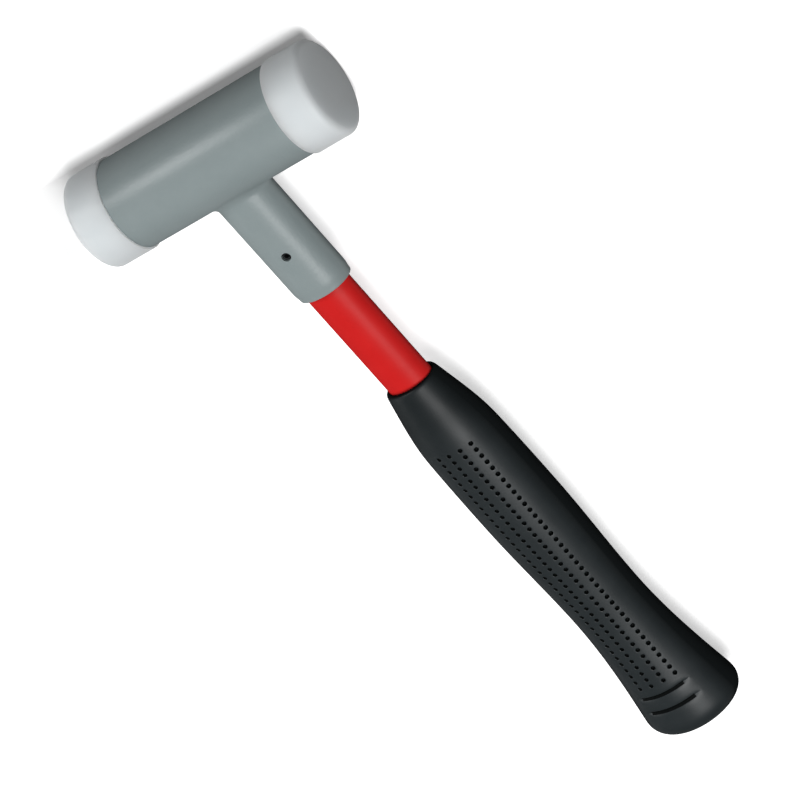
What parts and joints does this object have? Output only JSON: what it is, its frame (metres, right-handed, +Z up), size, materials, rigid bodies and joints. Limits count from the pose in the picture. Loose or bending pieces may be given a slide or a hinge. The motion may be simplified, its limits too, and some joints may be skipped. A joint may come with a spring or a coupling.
{
  "type": "dead blow hammer",
  "caption": "Dead blow hammer: shot-filled steel barrel head with two push-in nylon faces, on an oval red steel tube handle pinned into the neck, with a flared black rubber grip.",
  "frame": {"origin": "under the middle of the hammer's box, on the surface that it lies on", "axes": "+X along the head towards the right face, +Y along the handle from butt to head, +Z up from the surface that the hammer lies on"},
  "size_m": [0.101, 0.3034, 0.035],
  "materials": {
    "powder_coat": "grey powder coat, satin",
    "nylon": "white nylon, turned, satin",
    "steel": "bare steel",
    "red_paint": "red paint, semi-gloss",
    "rubber": "black rubber, matt"
  },
  "bodies": {
    "hammer": {"head_housing": "powder_coat", "left_chamber_disc": "steel", "right_chamber_disc": "steel", "handle_tube": "red_paint", "spring_pin": "steel", "grip": "rubber"},
    "left_face": {"left_face": "nylon"},
    "right_face": {"right_face": "nylon"},
    "shot_charge": {"shot_01": "steel", "shot_02": "steel", "shot_03": "steel", "shot_04": "steel", "shot_05": "steel", "shot_06": "steel", "shot_07": "steel", "shot_08": "steel", "shot_09": "steel", "shot_10": "steel", "shot_11": "steel", "shot_12": "steel", "shot_13": "steel", "shot_14": "steel", "shot_15": "steel", "shot_16": "steel", "shot_17": "steel", "shot_18": "steel", "shot_19": "steel", "shot_20": "steel", "shot_21": "steel", "shot_22": "steel", "shot_23": "steel", "shot_24": "steel", "shot_25": "steel", "shot_26": "steel", "shot_27": "steel", "shot_28": "steel", "shot_29": "steel", "shot_30": "steel", "shot_31": "steel", "shot_32": "steel", "shot_33": "steel", "shot_34": "steel", "shot_35": "steel"}
  },
  "joints": [
    {"name": "shot_slide", "type": "slide", "parent": "hammer", "child": "shot_charge", "axis": [1, 0, 0], "range_m": [-0.0034, 0.0034]},
    {"name": "left_face_pull", "type": "slide", "parent": "hammer", "child": "left_face", "axis": [-1, 0, 0], "range_m": [0, 0.0138]},
    {"name": "right_face_pull", "type": "slide", "parent": "hammer", "child": "right_face", "axis": [1, 0, 0], "range_m": [0, 0.0138]}
  ]
}
